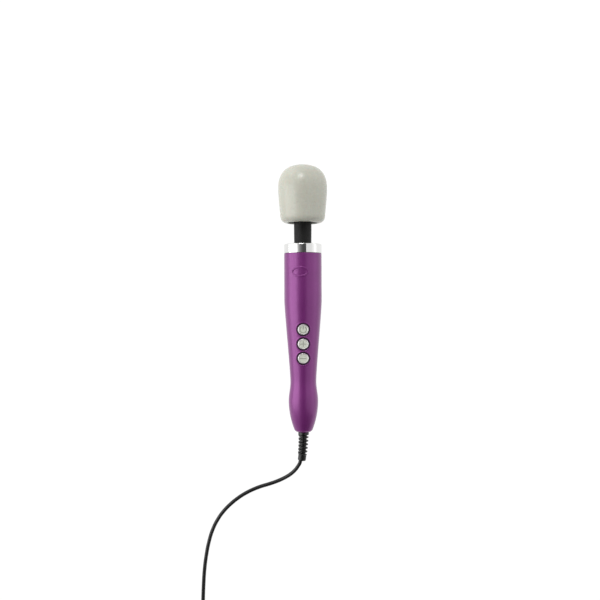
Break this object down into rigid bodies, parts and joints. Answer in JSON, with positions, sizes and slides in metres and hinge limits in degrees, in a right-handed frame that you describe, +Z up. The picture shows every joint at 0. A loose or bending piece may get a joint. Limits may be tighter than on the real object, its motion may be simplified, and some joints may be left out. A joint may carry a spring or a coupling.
{
  "type": "handheld wand massager",
  "caption": "Mains wand massager with a domed soft head on a flexible neck, a waisted purple handle with round buttons, and a ribbed strain relief with a coiled lead and plug.",
  "frame": {"origin": "on the ground under the middle of the wand, which lies on its back; the lead, its coil and its plug are left out of that middle", "axes": "+Y along the wand from its tail to its head, +Z up, the way the buttons face, +X to the right seen from the buttons with the head up"},
  "size_m": [0.1635, 0.6534, 0.0625],
  "materials": {
    "purple_lacquer": "satin metallic purple lacquer over moulded plastic",
    "polished_collar": "polished bright metal with a rounded upper edge",
    "head_rubber": "soft matt grey-beige silicone rubber",
    "black_rubber": "matt black rubber",
    "lead_sheath": "smooth black flexible sheath",
    "black_plastic": "fine-grained black moulded plastic",
    "silver_key": "silver-grey satin plastic with a bright rim",
    "bright_steel": "plated steel",
    "rotor_iron": "stacked iron sheets",
    "ferrite": "pressed ferrite",
    "copper": "bare copper segments",
    "plated_brass": "turned and plated brass",
    "green_laminate": "green glass-fibre laminate",
    "white_nylon": "natural nylon",
    "carbon": "pressed carbon",
    "brown_insulation": "brown wire insulation",
    "blue_insulation": "blue sleeve and wire insulation"
  },
  "bodies": {
    "handle": {"handle_shell_front": "purple_lacquer", "handle_shell_rear": "purple_lacquer", "collar_ring": "polished_collar", "shell_screw_lower": "bright_steel", "shell_screw_upper": "bright_steel", "button_seal_power": "black_rubber", "button_seal_plus": "black_rubber", "button_seal_minus": "black_rubber", "switch_power": "black_plastic", "switch_plus": "black_plastic", "switch_minus": "black_plastic", "circuit_board": "green_laminate", "capacitor": "blue_insulation", "power_module": "black_plastic", "motor_can": "bright_steel", "motor_end_cap": "white_nylon", "motor_magnet_left": "ferrite", "motor_magnet_right": "ferrite", "motor_bearing_front": "bright_steel", "motor_bearing_rear": "bright_steel", "motor_mount_front": "black_rubber", "motor_mount_rear": "black_rubber", "brush_left": "carbon", "brush_right": "carbon", "motor_lead_left": "brown_insulation", "motor_lead_right": "blue_insulation", "cord_boot": "black_rubber", "cord_clamp": "black_plastic", "clamp_screw_left": "bright_steel", "clamp_screw_right": "bright_steel", "lead_live": "brown_insulation", "lead_neutral": "blue_insulation", "cord_tube": "lead_sheath", "cord_tail": "lead_sheath", "cord_coil": "lead_sheath", "cord_tie": "black_plastic", "plug_body": "black_plastic", "plug_pin_left": "plated_brass", "plug_pin_right": "plated_brass"},
    "rotor": {"rotor_core": "rotor_iron", "commutator": "copper", "motor_shaft": "bright_steel", "shaft_coupling": "plated_brass"},
    "power_key": {"button_power": "silver_key"},
    "plus_key": {"button_plus": "silver_key"},
    "minus_key": {"button_minus": "silver_key"},
    "neck": {"neck_sleeve": "black_rubber", "neck_spring": "bright_steel", "neck_liner": "white_nylon"},
    "drive": {"flex_shaft": "bright_steel"},
    "head": {"head_cover": "head_rubber", "head_shell": "black_plastic", "head_base": "black_plastic", "head_bearing_lower": "bright_steel", "head_bearing_upper": "bright_steel"},
    "eccentric": {"eccentric_shaft": "bright_steel", "eccentric_weight": "plated_brass"}
  },
  "joints": [
    {"name": "neck_tilt", "type": "hinge", "parent": "handle", "child": "neck", "pos_m": [0, 0.0866, 0.02799], "axis": [1, 0, 0], "range_deg": [-10, 10], "stiffness_Nm_per_rad": 20},
    {"name": "neck_sway", "type": "hinge", "parent": "neck", "child": "head", "pos_m": [0, 0.11717, 0.02938], "axis": [0, -0.0455, 0.999], "range_deg": [-10, 10], "stiffness_Nm_per_rad": 20},
    {"name": "motor_spin", "type": "hinge", "parent": "handle", "child": "rotor", "pos_m": [0, 0.00069, 0.02407], "axis": [0, 0.999, 0.0455], "continuous": true},
    {"name": "drive_spin", "type": "hinge", "parent": "neck", "child": "drive", "pos_m": [0, 0.0866, 0.02799], "axis": [0, 0.999, 0.0455], "continuous": true},
    {"name": "eccentric_spin", "type": "hinge", "parent": "head", "child": "eccentric", "pos_m": [0, 0.11717, 0.02938], "axis": [0, 0.999, 0.0455], "continuous": true},
    {"name": "power_press", "type": "slide", "parent": "handle", "child": "power_key", "axis": [0, 0.1265, -0.992], "range_m": [0, 0.0008], "stiffness_N_per_m": 1500},
    {"name": "plus_press", "type": "slide", "parent": "handle", "child": "plus_key", "axis": [0, 0.1265, -0.992], "range_m": [0, 0.0008], "stiffness_N_per_m": 1500},
    {"name": "minus_press", "type": "slide", "parent": "handle", "child": "minus_key", "axis": [0, 0.1265, -0.992], "range_m": [0, 0.0008], "stiffness_N_per_m": 1500}
  ],
  "couplings": [
    {"joint": "drive_spin", "follows": "motor_spin", "ratio": 1},
    {"joint": "eccentric_spin", "follows": "motor_spin", "ratio": 1}
  ]
}
